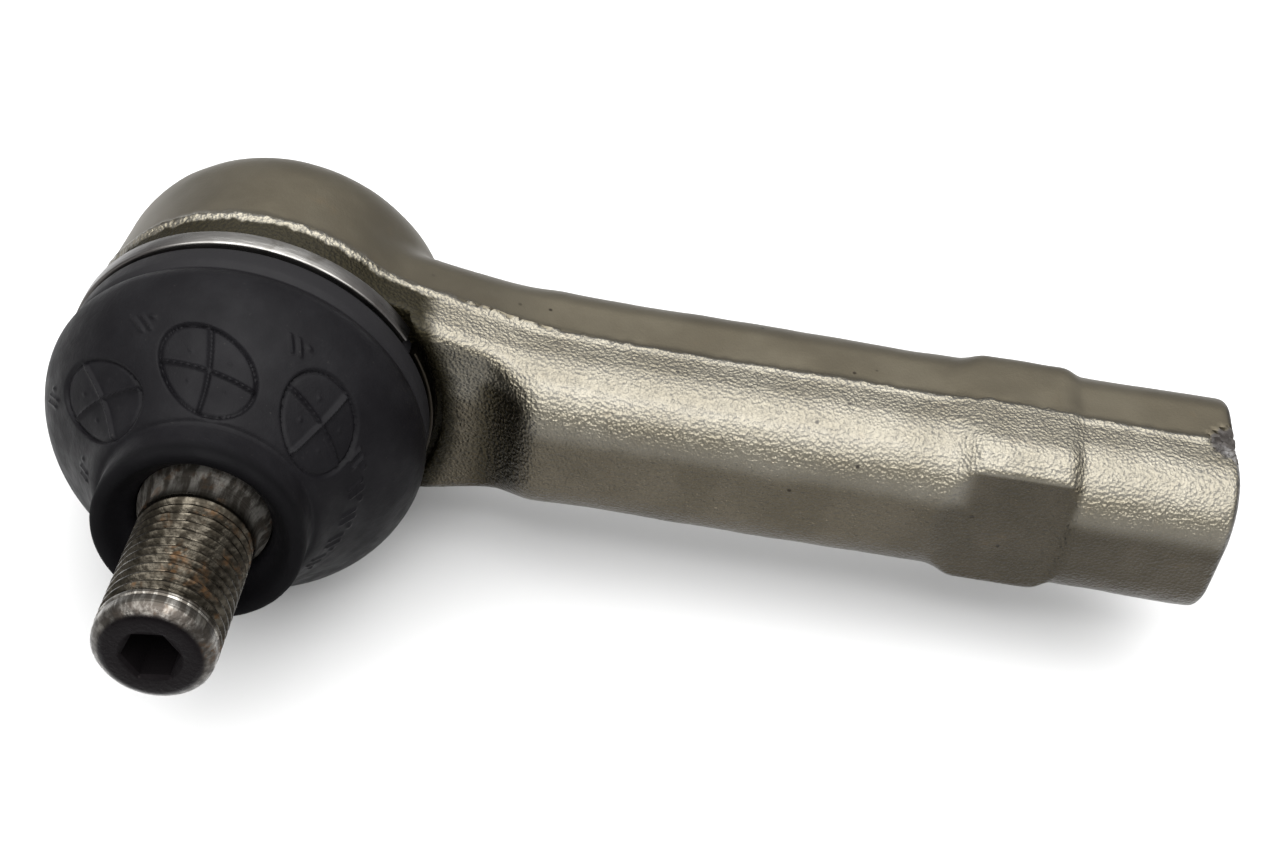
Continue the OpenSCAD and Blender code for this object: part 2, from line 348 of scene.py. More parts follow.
def rod_hole_field(x, y, z):
    """The hole for the rod, with a drill point at its end and a chamfer at its mouth."""
    axis_r = np.hypot(y, z)
    hole = np.maximum(axis_r - ROD_MAJOR_R, ROD_HOLE_START - x)
    drill = axis_r - (x - ROD_HOLE_START + DRILL_DEPTH) * DRILL_SLOPE
    entry = axis_r - (ROD_MAJOR_R + ENTRY_CHAMFER - (SHANK_END - x))
    return np.minimum(np.maximum(hole, drill), entry)


def forging_field(x, y, z):
    """The whole forging, negative inside."""
    arm = soft_min(arm_field(x, y, z), boss_field(x, y, z), 0.7)
    arm = soft_max(arm, flats_field(x, y), 0.3)
    arm = soft_max(arm, x - SHANK_END, 1.3)
    bevel = np.hypot(y, z) + (x - SHANK_END) - END_BEVEL_R
    arm = soft_max(arm, bevel, 0.5)
    height, radius = -y, np.sqrt(x * x + z * z)
    boot_room = np.maximum(radius - BOOT_ROOM_R, CUP_FRONT - height)
    arm = soft_max(np.maximum(arm, ARM_START - x), -boot_room, 0.4)
    arm = np.maximum(arm, ARM_CLEAR_R - radius)
    whole = soft_min(cup_field(x, y, z), arm, 1.1)
    whole = soft_max(whole, -rod_hole_field(x, y, z), 0.12)
    return soft_max(whole, -chip_field(x, y, z) * 0.9, 0.2)


def field_normal(points, reach=0.05):
    """Outward direction of the forging's field, and its steepness, at each point."""
    slope = np.stack([
        forging_field(*(points + reach * axis).T) - forging_field(*(points - reach * axis).T)
        for axis in np.eye(3)], -1) / (2 * reach)
    steep = np.linalg.norm(slope, axis=1, keepdims=True)
    return slope / np.maximum(steep, 1e-6), steep


def make_forging():
    """Cup, web and shank in one mesh, with the unevenness of a forging on it."""
    step = 0.36
    low, high = np.array([-21.2, -11.9, -21.2]), np.array([109.4, 16.6, 21.2])
    axes = [np.arange(a, b, step) for a, b in zip(low, high)]
    grid = np.meshgrid(*axes, indexing="ij", sparse=True)
    points, quads = surface_net(forging_field(*grid), low, step)
    for _ in range(2):
        normal, steep = field_normal(points)
        reach = forging_field(*points.T)[:, None] / np.maximum(steep, 0.3)
        points = points - normal * np.clip(reach, -0.2, 0.2)
    normal, _ = field_normal(points)
    x, y, z = points.T
    skin = smooth(np.hypot(y, z), 8.0, 9.0) * smooth(np.hypot(x, z), 16.0, 18.5)
    front = smooth(-(y - PARTING_Y), 0.0, 0.8)
    wave = 0.10 * noise(points, 8.0, 1) + 0.05 * noise(points, 3.0, 2)
    grain = front * 0.02 * noise(points, 0.8, 3)
    edge_break = 0.10 * noise(points, 0.9, 5) * bump(y - PARTING_Y, 0.7)
    points = points + normal * ((wave + grain + edge_break) * skin)[:, None]
    return new_object("forged_housing", points, quads.tolist(), sharp=50)


def make_rod_thread():
    """The thread inside the shank, as the inner face of a thin sleeve in its hole."""
    start, end, around = ROD_HOLE_START + 1.0, SHANK_END - 0.95, 72
    heights = np.arange(start, end, ROD_PITCH / 8)

    def radius(r, h, angle):
        phase = (h / ROD_PITCH - angle / (2 * np.pi)) % 1
        tooth = np.clip(np.abs(phase - 0.5) * 2.5 - 0.15, 0, 1)
        return ROD_MAJOR_R - (ROD_MAJOR_R - ROD_MINOR_R) * tooth

    inner = lathe([(ROD_MAJOR_R, h) for h in heights], around, radius)
    outer = lathe([(ROD_MAJOR_R + 0.12, h) for h in heights[::-1][::24]], around)
    sleeve = ring_object("rod_thread", np.vstack([inner, outer]), loop=True, sharp=30)
    return place(sleeve, Matrix.Rotation(math.pi / 2, 4, "Y"))


def make_cover():
    """The pressed plate in the back of the cup, with a dished centre."""
    back, rim = COVER_BACK, COVER_SEAT_R - 0.1
    outline = [(0.01, back + 0.75), (4.0, back + 0.72), (8.6, back + 0.62), (9.6, back + 0.30),
               (10.2, back + 0.06), (11.0, back), (13.2, back), (15.4, back), (rim, back + 0.4),
               (rim, back + COVER_THICK), (0.01, back + COVER_THICK)]
    return place(ring_object("back_cover", lathe(smooth_corners(outline, 0.25), 128)), CUP)


def smooth_corners(outline, cut):
    """An outline with each corner cut back twice, so that it turns in small steps."""
    points = [np.array(p, float) for p in outline]
    for share in (1.0, 0.35):
        line = [points[0]]
        for a, b, c in zip(points[:-2], points[1:-1], points[2:]):
            before, after = np.linalg.norm(a - b), np.linalg.norm(c - b)
            line.append(b + (a - b) * min(cut * share, before / 3) / before)
            line.append(b + (c - b) * min(cut * share, after / 3) / after)
        points = line + [points[-1]]
    return np.array(points)


# ---------------------------------------------------------------- stud

def make_stud():
    """Ball, neck, taper and a cut thread, ending in a plain nose with a hexagon socket."""
    around = 120
    neck_r, neck_from = 6.3, 10.2
    flat_r = math.sqrt(BALL_R ** 2 - BALL_FLAT ** 2)
    start = math.degrees(math.atan2(-BALL_FLAT, flat_r))
    end = math.degrees(math.asin(neck_from / BALL_R))
    body = [(0.01, -BALL_FLAT), (flat_r - 0.3, -BALL_FLAT)]
    body += arc((0, 0), BALL_R, start, end, 60)
    body += [(neck_r, neck_from + 0.6), (neck_r, 14.0), (6.7, 16.0), (7.2, 17.6), (7.36, 18.3),
             (6.9, 25.0), (6.85, 29.7), (6.75, 30.3), (6.45, 31.0), (6.18, 31.6), (6.03, 32.3),
             (5.98, THREAD_START)]
    thread = [(THREAD_R, h) for h in np.arange(THREAD_START + 0.05, THREAD_END, THREAD_PITCH / 14)]
    nose = [(5.84, THREAD_END + 0.1), (5.88, THREAD_END + 0.4), (5.88, 49.3), (5.8, 49.65),
            (5.5, 50.0), (5.05, 50.35), (4.7, 50.55), (4.4, STUD_END), (3.8, STUD_END), (3.3, STUD_END)]
    socket = [(SOCKET_R, STUD_END - 0.02), (SOCKET_R, STUD_END - 0.35), (SOCKET_R, STUD_END - 2.0),
              (SOCKET_R, STUD_END - SOCKET_DEPTH), (SOCKET_R * 0.96, STUD_END - SOCKET_DEPTH - 0.05),
              (0.01, STUD_END - SOCKET_DEPTH - 0.9)]
    profile = np.array(body + thread + nose + socket)
    first_thread, first_nose = len(body), len(body) + len(thread)
    first_socket = first_nose + len(nose)

    def radius(r, h, angle):
        turned = r + 0 * angle
        rows = slice(first_thread, first_nose)
        phase = (h[rows] / THREAD_PITCH - angle / (2 * np.pi)) % 1
        root = np.clip(1.25 - np.abs(phase - 0.5) * 3.0, 0, 1)
        depth = smooth(h[rows], THREAD_START, THREAD_START + 1.6)
        depth = depth * smooth(-h[rows], -THREAD_END, -THREAD_END + 0.7)
        turned[rows] = THREAD_R - 0.04 - THREAD_DEPTH * root * depth
        flat = (angle + math.pi / 6) % (math.pi / 3) - math.pi / 6
        hexagon = 1 / np.cos(flat)
        turned[first_socket:] = r[first_socket:] * hexagon
        turned[first_socket] = turned[first_socket] + 0.3
        return turned

    return place(ring_object("threaded_stud", lathe(profile, around, radius), sharp=32), STUD)


# ---------------------------------------------------------------- boot

BOOT_OUTSIDE = [
    (19.75, 7.15), (20.15, 7.5), (20.25, 8.3), (20.2, 9.5), (19.92, 10.1), (19.9, 10.4), (20.25, 10.9),
    (20.75, 12.0), (20.9, 13.3), (20.65, 15.2), (20.0, 17.2), (18.9, 19.2), (17.3, 21.2),
    (15.5, 23.2), (13.8, 25.2), (12.7, 26.8), (11.95, 27.9), (11.4, 28.5), (10.95, 28.75), (10.75, 29.2),
]
BOOT_FRONT = [
    (10.75, 30.6), (10.75, 32.8), (10.6, 33.25), (10.2, COLLAR_FRONT), (9.6, COLLAR_FRONT), (9.2, 33.2),
    (7.4, 30.9), (7.05, 30.4), (6.98, 29.3), (7.2, 28.5), (7.7, 28.4), (8.5, 28.5),
]
BOOT_INSIDE = [
    (9.6, 27.6), (11.2, 25.8), (13.6, 23.0), (16.0, 20.2), (17.9, 17.2), (18.9, 14.2), (18.9, 11.6),
    (18.4, 9.6), (18.15, 9.0), (18.1, 7.6), (17.3, 7.2), (17.3, 4.9), (17.5, 4.45), (18.6, 4.4),
    (19.3, 4.45), (19.5, 4.8), (19.5, 6.9), (19.55, 7.1),
]

def boot_marks():
    """(angle, height) of the small marks: one past each medallion, a rising row, and one alone."""
    beside = [(angle + 15, 19.2) for angle in MEDALLION_ANGLES]
    row = [(36 - 12 * i, 23 + 0.9 * i) for i in range(5)]
    return beside + row + [(196, 26)]


def medallion_relief(u, v):
    """Height of one medallion: a sunk disc with a raised cross and a pip in each quadrant."""
    sunk, groove_deep, cross_proud, pip_proud, pip_at = 0.22, 0.18, 0.34, 0.12, 1.9
    far = np.hypot(u / MEDALLION_R, v / MEDALLION_TALL) * MEDALLION_R
    disc = -sunk * smooth(-far, -MEDALLION_R - 0.12, -MEDALLION_R + 0.12)
    groove = -groove_deep * bump(far - MEDALLION_R + 0.12, 0.22)
    turn = math.radians(MEDALLION_TURN)
    cu, cv = u * math.cos(turn) - v * math.sin(turn), u * math.sin(turn) + v * math.cos(turn)
    inside = smooth(-far, -MEDALLION_R, -MEDALLION_R + 0.5)
    cross = np.maximum(bump(cu, 0.24), bump(cv, 0.24)) * inside * cross_proud
    pips = sum(bump(np.hypot(cu - a, cv - b), 0.2) for a in (-pip_at, pip_at) for b in (-pip_at, pip_at))
    return disc + groove + cross + pips * pip_proud


def mark_relief(u, v):
    """Height of one small mark: two short strokes and a dot."""
    strokes = sum(bump(u - a, 0.22) * smooth(-np.abs(v), -1.25, -1.0) for a in (-1.0, 0.0))
    return 0.2 * (strokes + bump(np.hypot(u - 1.1, v + 0.5), 0.3))


def boot_relief(outside, angle):
    """Height of all the moulded marks over the boot's outside."""
    run = np.concatenate([[0], np.cumsum(np.linalg.norm(np.diff(outside, axis=0), axis=1))])
    relief = np.zeros((len(outside), len(angle)))
    spots = [(medal, MEDALLION_HEIGHT, medallion_relief) for medal in MEDALLION_ANGLES]
    spots += [(*spot, mark_relief) for spot in boot_marks()]
    for degrees, height, shape in spots:
        centre = np.interp(height, outside[:, 1], run)
        radius = np.interp(height, outside[:, 1], outside[:, 0])
        away = (angle - math.radians(degrees) + np.pi) % (2 * np.pi) - np.pi
        spread = radius + 0.45 * (outside[:, :1] - radius)
        relief += shape(-away * spread, run[:, None] - centre)
    return relief


def make_boot():
    """The rubber boot: round on the housing's axis at its root and on the stud's at its front."""
    around = 700
    angle = np.arange(around) * 2 * np.pi / around
    outside = smooth_line(BOOT_OUTSIDE, 0.19)
    rest = np.vstack([smooth_line(BOOT_FRONT, 0.45), smooth_line(BOOT_INSIDE, 1.2)])
    profile = np.vstack([outside, rest])
    slope = np.gradient(outside, axis=0)
    normal = np.stack([slope[:, 1], -slope[:, 0]], -1) / np.linalg.norm(slope, axis=1, keepdims=True)
    relief = boot_relief(outside, angle)
    radii = np.repeat(profile[:, :1], around, 1)
    heights = np.repeat(profile[:, 1:], around, 1)
    radii[:len(outside)] += relief * normal[:, :1]
    heights[:len(outside)] += relief * normal[:, 1:]
    local = np.stack([radii * np.cos(angle), radii * np.sin(angle), heights], -1)
    lean = smooth(heights, LEAN_START, LEAN_END)[..., None]
    on_cup = local @ np.array(CUP.to_3x3()).T
    on_stud = local @ np.array(STUD.to_3x3()).T
    return ring_object("dust_boot", on_cup * (1 - lean) + on_stud * lean, loop=True, sharp=45)


def make_clip():
    """A split spring band with rounded edges and square-cut ends."""
    gap, turn, steps = math.radians(5.5), math.radians(CLIP_GAP_ANGLE), 220
    low, high, inner, outer, soft = 4.8, 6.85, 19.58, 20.45, 0.22
    corners = [((inner + soft, low + soft), 180), ((outer - soft, low + soft), 270),
               ((outer - soft, high - soft), 0), ((inner + soft, high - soft), 90)]
    section = np.array([p for centre, a in corners for p in arc(centre, soft, a, a + 90, 4)])
    angles = turn + gap / 2 + (2 * math.pi - gap) * np.arange(steps) / (steps - 1)
    rings = np.stack([section[:, 0] * np.cos(angles)[:, None], section[:, 0] * np.sin(angles)[:, None],
                      section[:, 1] + 0 * angles[:, None]], -1)
    return place(ring_object("clip_band", rings, sharp=40), CUP)


# ---------------------------------------------------------------- materials

def smooth_ramp(tree, value, low, high, bottom=0.0, top=1.0):
    """A node's output that maps low..high to bottom..top, smoothly, and holds the ends."""
    made = tree.nodes.new("ShaderNodeMapRange")
    made.interpolation_type = "SMOOTHSTEP"
    for socket, amount in zip(("From Min", "From Max", "To Min", "To Max"), (low, high, bottom, top)):
        made.inputs[socket].default_value = amount
    tree.links.new(value, made.inputs["Value"])
    return made.outputs["Result"]


class Paint:
    """A material under construction: a few node helpers around one Principled shader."""

    def __init__(self, name, metallic, **sockets):
        self.material = bpy.data.materials.new(name)
        self.material.use_nodes = True
        self.tree = self.material.node_tree
        self.shader = self.tree.nodes["Principled BSDF"]
        self.shader.inputs["Metallic"].default_value = metallic
        for socket, value in sockets.items():
            self.shader.inputs[socket.replace("_", " ")].default_value = value
        self.place = self.node("ShaderNodeTexCoord").outputs["Object"]

    def node(self, kind, **settings):
        made = self.tree.nodes.new(kind)
        for key, value in settings.items():
            setattr(made, key, value)
        return made

    def link(self, source, target):
        self.tree.links.new(source, target)

    def put(self, socket, value):
        """Sets a socket to a number or colour, or links it to another node's output."""
        if isinstance(value, bpy.types.NodeSocket):
            self.link(value, socket)
        else:
            socket.default_value = value

    def math(self, operation, a, b=0.0):
        made = self.node("ShaderNodeMath", operation=operation)
        self.put(made.inputs[0], a)
        self.put(made.inputs[1], b)
        return made.outputs[0]

    def plus(self, a, b):
        return self.math("ADD", a, b)

    def less(self, a, b):
        return self.math("SUBTRACT", a, b)

    def times(self, first, *others):
        for other in others:
            first = self.math("MULTIPLY", first, other)
        return first

    def larger(self, a, b):
        return self.math("MAXIMUM", a, b)

    def vector(self, operation, b=None, a=None, output=0):
        """A vector operation on the object's coordinates, or on a."""
        made = self.node("ShaderNodeVectorMath", operation=operation)
        self.link(a or self.place, made.inputs[0])
        if b is not None:
            made.inputs[1].default_value = b
        return made.outputs[output]

    def axes(self):
        """The object's X, Y and Z."""
        split = self.node("ShaderNodeSeparateXYZ")
        self.link(self.place, split.inputs[0])
        return split.outputs

    def radius(self, mask):
        """Distance from the axis that mask leaves out."""
        return self.vector("LENGTH", a=self.vector("MULTIPLY", mask), output="Value")

    def stretched(self, scale):
        """The object's coordinates, scaled on each axis."""
        made = self.node("ShaderNodeMapping")
        made.inputs["Scale"].default_value = scale
        self.link(self.place, made.inputs["Vector"])
        return made.outputs["Vector"]

    def noise(self, per_mm, detail=2.0, roughness=0.5, where=None):
        made = self.node("ShaderNodeTexNoise")
        made.inputs["Scale"].default_value = per_mm / MM
        made.inputs["Detail"].default_value = detail
        made.inputs["Roughness"].default_value = roughness
        self.link(where or self.place, made.inputs["Vector"])
        return made.outputs["Fac"]

    def cells(self, per_mm):
        made = self.node("ShaderNodeTexVoronoi")
        made.inputs["Scale"].default_value = per_mm / MM
        self.link(self.place, made.inputs["Vector"])
        return made.outputs["Distance"]

    def ramp(self, value, low, high, bottom=0.0, top=1.0):
        return smooth_ramp(self.tree, value, low, high, bottom, top)

    def ramp_mm(self, distance, low, high, bottom=0.0, top=1.0):
        """A ramp whose low and high are in millimetres."""
        return self.ramp(distance, low * MM, high * MM, bottom, top)

    def window(self, distance, start, full, still_full, end):
        """0 before start and after end, 1 between, in millimetres."""
        return self.times(self.ramp_mm(distance, start, full), self.ramp_mm(distance, end, still_full))

    def mix(self, share, first, second):
        """A colour between two, by share."""
        made = self.node("ShaderNodeMix", data_type="RGBA")
        self.put(made.inputs["Factor"], share)
        for socket, value in ((made.inputs[6], first), (made.inputs[7], second)):
            self.put(socket, (*value, 1.0) if isinstance(value, tuple) else value)
        return made.outputs[2]

    def bump(self, height, depth_mm):
        made = self.node("ShaderNodeBump")
        made.inputs["Strength"].default_value = 1.0
        made.inputs["Distance"].default_value = depth_mm * MM
        self.link(height, made.inputs["Height"])
        return made.outputs["Normal"]

    def finish(self, color=None, roughness=None, normal=None, metallic=None):
        for name, value in (("Base Color", color), ("Roughness", roughness),
                            ("Normal", normal), ("Metallic", metallic)):
            if value is not None:
                self.put(self.shader.inputs[name], value)
        return self.material


# Plating of the forging: the colours of its darker and lighter patches. The front half's colours are
# lighter as a painted highlight and the back half's darker as painted shade.
BACK_PLATING_PAINTED_SHADE = (0.066, 0.057, 0.040), (0.081, 0.071, 0.051)
FRONT_PLATING_PAINTED_HIGHLIGHT = (0.100, 0.089, 0.065), (0.122, 0.111, 0.085)
# Painted shade: the plating on the lower front, darker still towards the end of the shank
LOWER_PLATING_PAINTED_SHADE = (0.070, 0.060, 0.042), (0.088, 0.076, 0.055)
LOWER_END_PLATING_PAINTED_SHADE = (0.044, 0.038, 0.027), (0.056, 0.048, 0.035)
# Painted shade with some dirt: the hollow where the web meets the shank
HOLLOW_DIRT_AND_SHADE = (0.034, 0.028, 0.016)
BROWN_STAIN = (0.090, 0.068, 0.042)
DARK_SPOT = (0.02, 0.016, 0.011)
END_STAIN = (0.022, 0.018, 0.012)
CHIP_SCALE = (0.009, 0.006, 0.004)
# Painted shade with grime: the strip of the cup in front of the parting line
CUP_GRIME_AND_SHADE = (0.013, 0.011, 0.006)


def lower_front(p, front):
    """Where the front half is duller and painted darker as painted shade: its lower side and the wrench
    flat.
    """
    x, _, z = p.axes()
    low = p.ramp_mm(z, 5.0, 1.5)
    flat = p.window(x, BOSS_FULL - 3, BOSS_FULL, BOSS_END - 0.6, BOSS_END + 0.6)
    return p.times(p.larger(low, p.times(flat, p.ramp_mm(z, 8.0, 7.5))), front)


def web_hollow(p, front, wobble):
    """Where the web meets the shank: a concave hollow, painted dark as painted shade with some dirt."""
    x, _, z = p.axes()
    return p.times(p.window(x, 23.5, 26.5, 29.4, 31.4), p.ramp_mm(p.plus(z, wobble), 7.4, 5.2), front)


def cup_grime_and_shade(p, depth, wobble):
    """The strip of the cup between the parting line and the clip, painted dark as grime and painted
    shade.
    """
    around_cup = p.ramp_mm(p.plus(p.radius((1, 0, 1)), wobble), 24.0, 22.0)
    return p.times(around_cup, p.ramp_mm(depth, -1.0, -1.5))


def bare_chip(p):
    """Where the chip has left bare scale, with a ragged edge."""
    away = p.vector("DISTANCE", tuple(value * MM for value in CHIP_PLACE), output="Value")
    return p.ramp_mm(p.plus(away, p.times(p.noise(0.8, 4), 1.6 * MM)), 3.1, 3.5, 1.0, 0.0)


def forging_paint():
    """Dull olive plating: fine on the back half, coarse and sparkling on the front half. The front half
    is painted lighter as a painted highlight, the back half darker as painted shade.
    """
    p = Paint("olive_plating", 1.0, Coat_Roughness=0.33)
    x, y, _ = p.axes()
    wobble = p.times(p.less(p.noise(0.9, 2), 0.5), 1.2 * MM)
    depth = p.plus(y, wobble)
    front = p.ramp_mm(depth, PARTING_Y + 0.35, PARTING_Y - 0.15)
    low, hollow = lower_front(p, front), web_hollow(p, front, wobble)
    # The cup strip's mask marks painted shade as well as grime
    grime_and_shade, bare = cup_grime_and_shade(p, depth, wobble), bare_chip(p)
    patches = p.ramp(p.noise(0.12, 4, 0.6), 0.35, 0.68)
    # Painted shade on the lower front, darker towards the end of the shank
    shaded = p.mix(p.ramp_mm(x, 66, 84), p.mix(patches, *LOWER_PLATING_PAINTED_SHADE),
                   p.mix(patches, *LOWER_END_PLATING_PAINTED_SHADE))
    # Painted highlight and painted shade: the front half's plating is lighter, the back half's darker
    tint = p.mix(front, p.mix(patches, *BACK_PLATING_PAINTED_SHADE), p.mix(patches, *FRONT_PLATING_PAINTED_HIGHLIGHT))
    tint = p.mix(low, tint, shaded)
    spots = p.times(p.ramp(p.cells(0.24), 0.035, 0.075, 1.0, 0.0), p.ramp(p.noise(0.05), 0.45, 0.55))
    tail = p.ramp_mm(p.plus(x, p.times(wobble, 0.4)), SHANK_END - 0.9, SHANK_END - 0.4)
    # The hollow's colour is painted shade with some dirt
    for share, stain in ((hollow, HOLLOW_DIRT_AND_SHADE),
                         (p.ramp(p.noise(0.35, 5, 0.65), 0.60, 0.80, 0.0, 0.45), BROWN_STAIN),
                         (spots, DARK_SPOT), (tail, END_STAIN), (bare, CHIP_SCALE), (grime_and_shade, CUP_GRIME_AND_SHADE)):
        tint = p.mix(share, tint, stain)
    shine = p.times(front, p.less(1.0, low), p.less(1.0, p.larger(grime_and_shade, hollow)))
    p.put(p.shader.inputs["Coat Weight"], p.ramp(shine, 0.0, 1.0, 0.08, 0.65))
    coarse = p.plus(p.noise(2.2, 3, 0.65), p.times(p.cells(2.6), 0.7))
    relief = p.plus(p.times(coarse, front), p.times(p.noise(3.0, 3, 0.6), 0.12))
    roughness = p.less(0.50, p.times(front, 0.22))
    roughness = p.plus(roughness, p.times(p.larger(bare, grime_and_shade), 0.3))
    return p.finish(tint, roughness, p.bump(relief, 0.20), p.less(1.0, bare))


def stud_paint():
    """Turned steel with bright streaks along it and traces of rust, and painted shade on the nose's
    rounded edge and in the hexagon socket.
    """
    p = Paint("turned_steel", 1.0)
    streaks = p.noise(1.0, 4, 0.6, p.stretched((1.0, 1.0, 0.12)))
    _, _, z = p.axes()
    worn = p.ramp(streaks, 0.42, 0.66)
    dull = p.mix(worn, (0.014, 0.012, 0.009), (0.052, 0.046, 0.036))
    clean = p.mix(worn, (0.045, 0.040, 0.034), (0.27, 0.258, 0.235))
    tint = p.mix(p.plus(p.ramp_mm(z, 47.7, 48.3), p.ramp_mm(z, 34.2, 32.2)), dull, clean)
    # Painted shade: the nose's rounded edge is painted darker
    tint = p.mix(p.ramp_mm(z, 49.2, 49.9, 0.0, 0.7), tint, (0.030, 0.026, 0.023))
    rust = p.times(p.ramp(p.noise(0.22, 4, 0.6), 0.50, 0.68), p.ramp(p.noise(1.4, 4), 0.42, 0.6))
    tint = p.mix(p.times(rust, 0.8), tint, (0.075, 0.040, 0.018))
    # Painted shade: the inside of the hexagon socket is painted near black, and the end face takes the
    # same dark colour
    face = p.ramp_mm(z, STUD_END - 0.40, STUD_END - 0.08)
    core = p.times(p.ramp_mm(p.radius((1, 1, 0)), 2.95, 3.3, 1.0, 0.0), p.ramp_mm(z, 40, 41))
    tint = p.mix(p.larger(face, core), tint, (0.007, 0.006, 0.0065))
    turned = p.noise(3.2, 2, 0.5, p.stretched((0.05, 0.05, 1.0)))
    scratches = p.noise(2.2, 3, 0.6, p.stretched((1.0, 1.0, 0.08)))
    roughness = p.plus(p.ramp(streaks, 0.3, 0.7, 0.40, 0.24), p.times(rust, 0.3))
    roughness = p.plus(roughness, p.times(core, 0.5))
    roughness = p.plus(roughness, p.ramp_mm(z, 34.0, 32.0, 0.0, 0.3))
    return p.finish(tint, roughness, p.bump(p.plus(turned, scratches), 0.05))


def rubber_paint():
    """Black moulded rubber with a faint dusty bloom, painted paler at its shoulder as painted light,
    darker on its collar.
    """
    p = Paint("moulded_rubber", 0.0, Specular_IOR_Level=0.05)
    bloom = p.ramp(p.noise(0.16, 5, 0.6), 0.38, 0.7)
    tint = p.mix(bloom, (0.0024, 0.0022, 0.0027), (0.0041, 0.0039, 0.0045))
    specks = p.ramp(p.noise(2.6, 2), 0.70, 0.78, 0.0, 0.5)
    tint = p.mix(specks, tint, (0.016, 0.015, 0.014))
    # Painted light: the shoulder next to the clip is painted paler, where light falls on it
    _, y, _ = p.axes()
    tint = p.mix(p.ramp_mm(y, -10.5, -10.2), tint, (0.0075, 0.0072, 0.0078))
    along = p.vector("DOT_PRODUCT", STUD.to_3x3() @ Vector((0, 0, 1)), output="Value")
    collar = p.ramp_mm(along, 31.0, 32.6)
    tint = p.mix(collar, tint, (0.0010, 0.0009, 0.0012))
    normal = p.bump(p.plus(p.noise(1.2, 4, 0.6), p.times(p.noise(5.0), 0.3)), 0.045)
    roughness = p.ramp(p.noise(0.4, 3), 0.3, 0.7, 0.42, 0.55)
    return p.finish(tint, p.plus(roughness, p.times(collar, 0.25)), normal)


def band_paint():
    """Rolled spring band: satin steel with fine lines round it and mottled stains, with painted shade at
    its sides and past its gap.
    """
    p = Paint("rolled_band", 1.0)
    x, y, _ = p.axes()
    lines = p.noise(2.5, 3, 0.6, p.stretched((0.15, 0.15, 1.0)))
    tint = p.mix(p.ramp(lines, 0.3, 0.7), (0.13, 0.125, 0.118), (0.22, 0.214, 0.204))
    stain = p.ramp(p.noise(0.3, 4, 0.6), 0.5, 0.7)
    tint = p.mix(stain, tint, (0.085, 0.079, 0.070))
    # Painted shade: the band is painted darker towards its left and right sides
    side = p.ramp_mm(p.math("ABSOLUTE", p.less(x, 1.5 * MM)), 5, 13)
    tint = p.mix(p.times(side, 0.8), tint, (0.055, 0.050, 0.048))
    # Painted shade: the part of the band past its gap is painted dark
    gap = math.radians(CLIP_GAP_ANGLE)
    across = p.less(p.times(y, math.cos(gap)), p.times(x, math.sin(gap)))
    tint = p.mix(p.ramp_mm(across, 0.2, -0.6), tint, (0.020, 0.017, 0.013))
    return p.finish(tint, p.ramp(lines, 0.3, 0.7, 0.36, 0.26), p.bump(lines, 0.03))


def plate_paint():
    """Pressed plate: the same plating as the housing, finer and a little brighter."""
    p = Paint("pressed_plate", 1.0)
    tint = p.mix(p.ramp(p.noise(0.25, 4, 0.6), 0.35, 0.7), (0.115, 0.100, 0.073), (0.145, 0.130, 0.100))
    normal = p.bump(p.noise(2.0, 4, 0.6), 0.03)
    return p.finish(tint, p.ramp(p.noise(0.8, 3), 0.3, 0.7, 0.34, 0.48), normal)


def plain_paint(name, dark, light, metallic, rough):
    """A simple finish for the hidden pieces, with mottled colour and a fine grain."""
    p = Paint(name, metallic)
    tint = p.mix(p.ramp(p.noise(0.3, 4, 0.6), 0.3, 0.7), dark, light)
    roughness = p.ramp(p.noise(1.0, 3), 0.3, 0.7, rough, rough + 0.12)
    return p.finish(tint, roughness, p.bump(p.noise(2.5, 3), 0.02))


def wear(obj, material):
    """Gives an object its only material."""
    obj.data.materials.clear()
    obj.data.materials.append(material)
    return obj


# ---------------------------------------------------------------- the part

forging = forging_paint()
housing = wear(make_forging(), forging)
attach(housing, "housing")
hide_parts("housing")

cut_thread = plain_paint("cut_thread", (0.16, 0.15, 0.13), (0.26, 0.25, 0.22), 1.0, 0.3)
rod_thread = wear(make_rod_thread(), cut_thread)
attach(rod_thread, "housing")

cover = wear(make_cover(), plate_paint())
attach(cover, "housing")
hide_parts("cover_plate")

clip = wear(make_clip(), band_paint())
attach(clip, "housing")
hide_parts("boot_clip")

stud = wear(make_stud(), stud_paint())
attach(stud, "stud")
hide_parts("ball_stud")

boot = wear(make_boot(), rubber_paint())
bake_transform(boot)
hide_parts("boot")

acetal = plain_paint("natural_acetal", (0.78, 0.76, 0.70), (0.86, 0.85, 0.80), 0.0, 0.38)
wear(nodes["lower_race"], acetal)
wear(nodes["upper_race"], acetal)
blued = plain_paint("blued_spring", (0.10, 0.11, 0.13), (0.20, 0.20, 0.22), 1.0, 0.30)
wear(nodes["preload_spring"], blued)
ring_steel = plain_paint("lip_ring_steel", (0.30, 0.30, 0.30), (0.42, 0.42, 0.41), 1.0, 0.34)
wear(nodes["lip_ring"], ring_steel)



# ---------------------------------------------------------------- stage

FLOOR_HALF, FLOOR_GAP = 1.6, 0.0002
SKY_RISE, SKY_STRENGTH = math.radians(75), 5.4
SKY_EDGE, SKY_CORE = math.radians(62), math.radians(34)
CAMERA_PLACE = Vector((45.507, -159.160, 144.919)) * MM
CAMERA_TARGET = Vector((43.083, 0.9, -3.002)) * MM
CAMERA_ROLL, CAMERA_LENS = math.radians(-8.648), 53.44


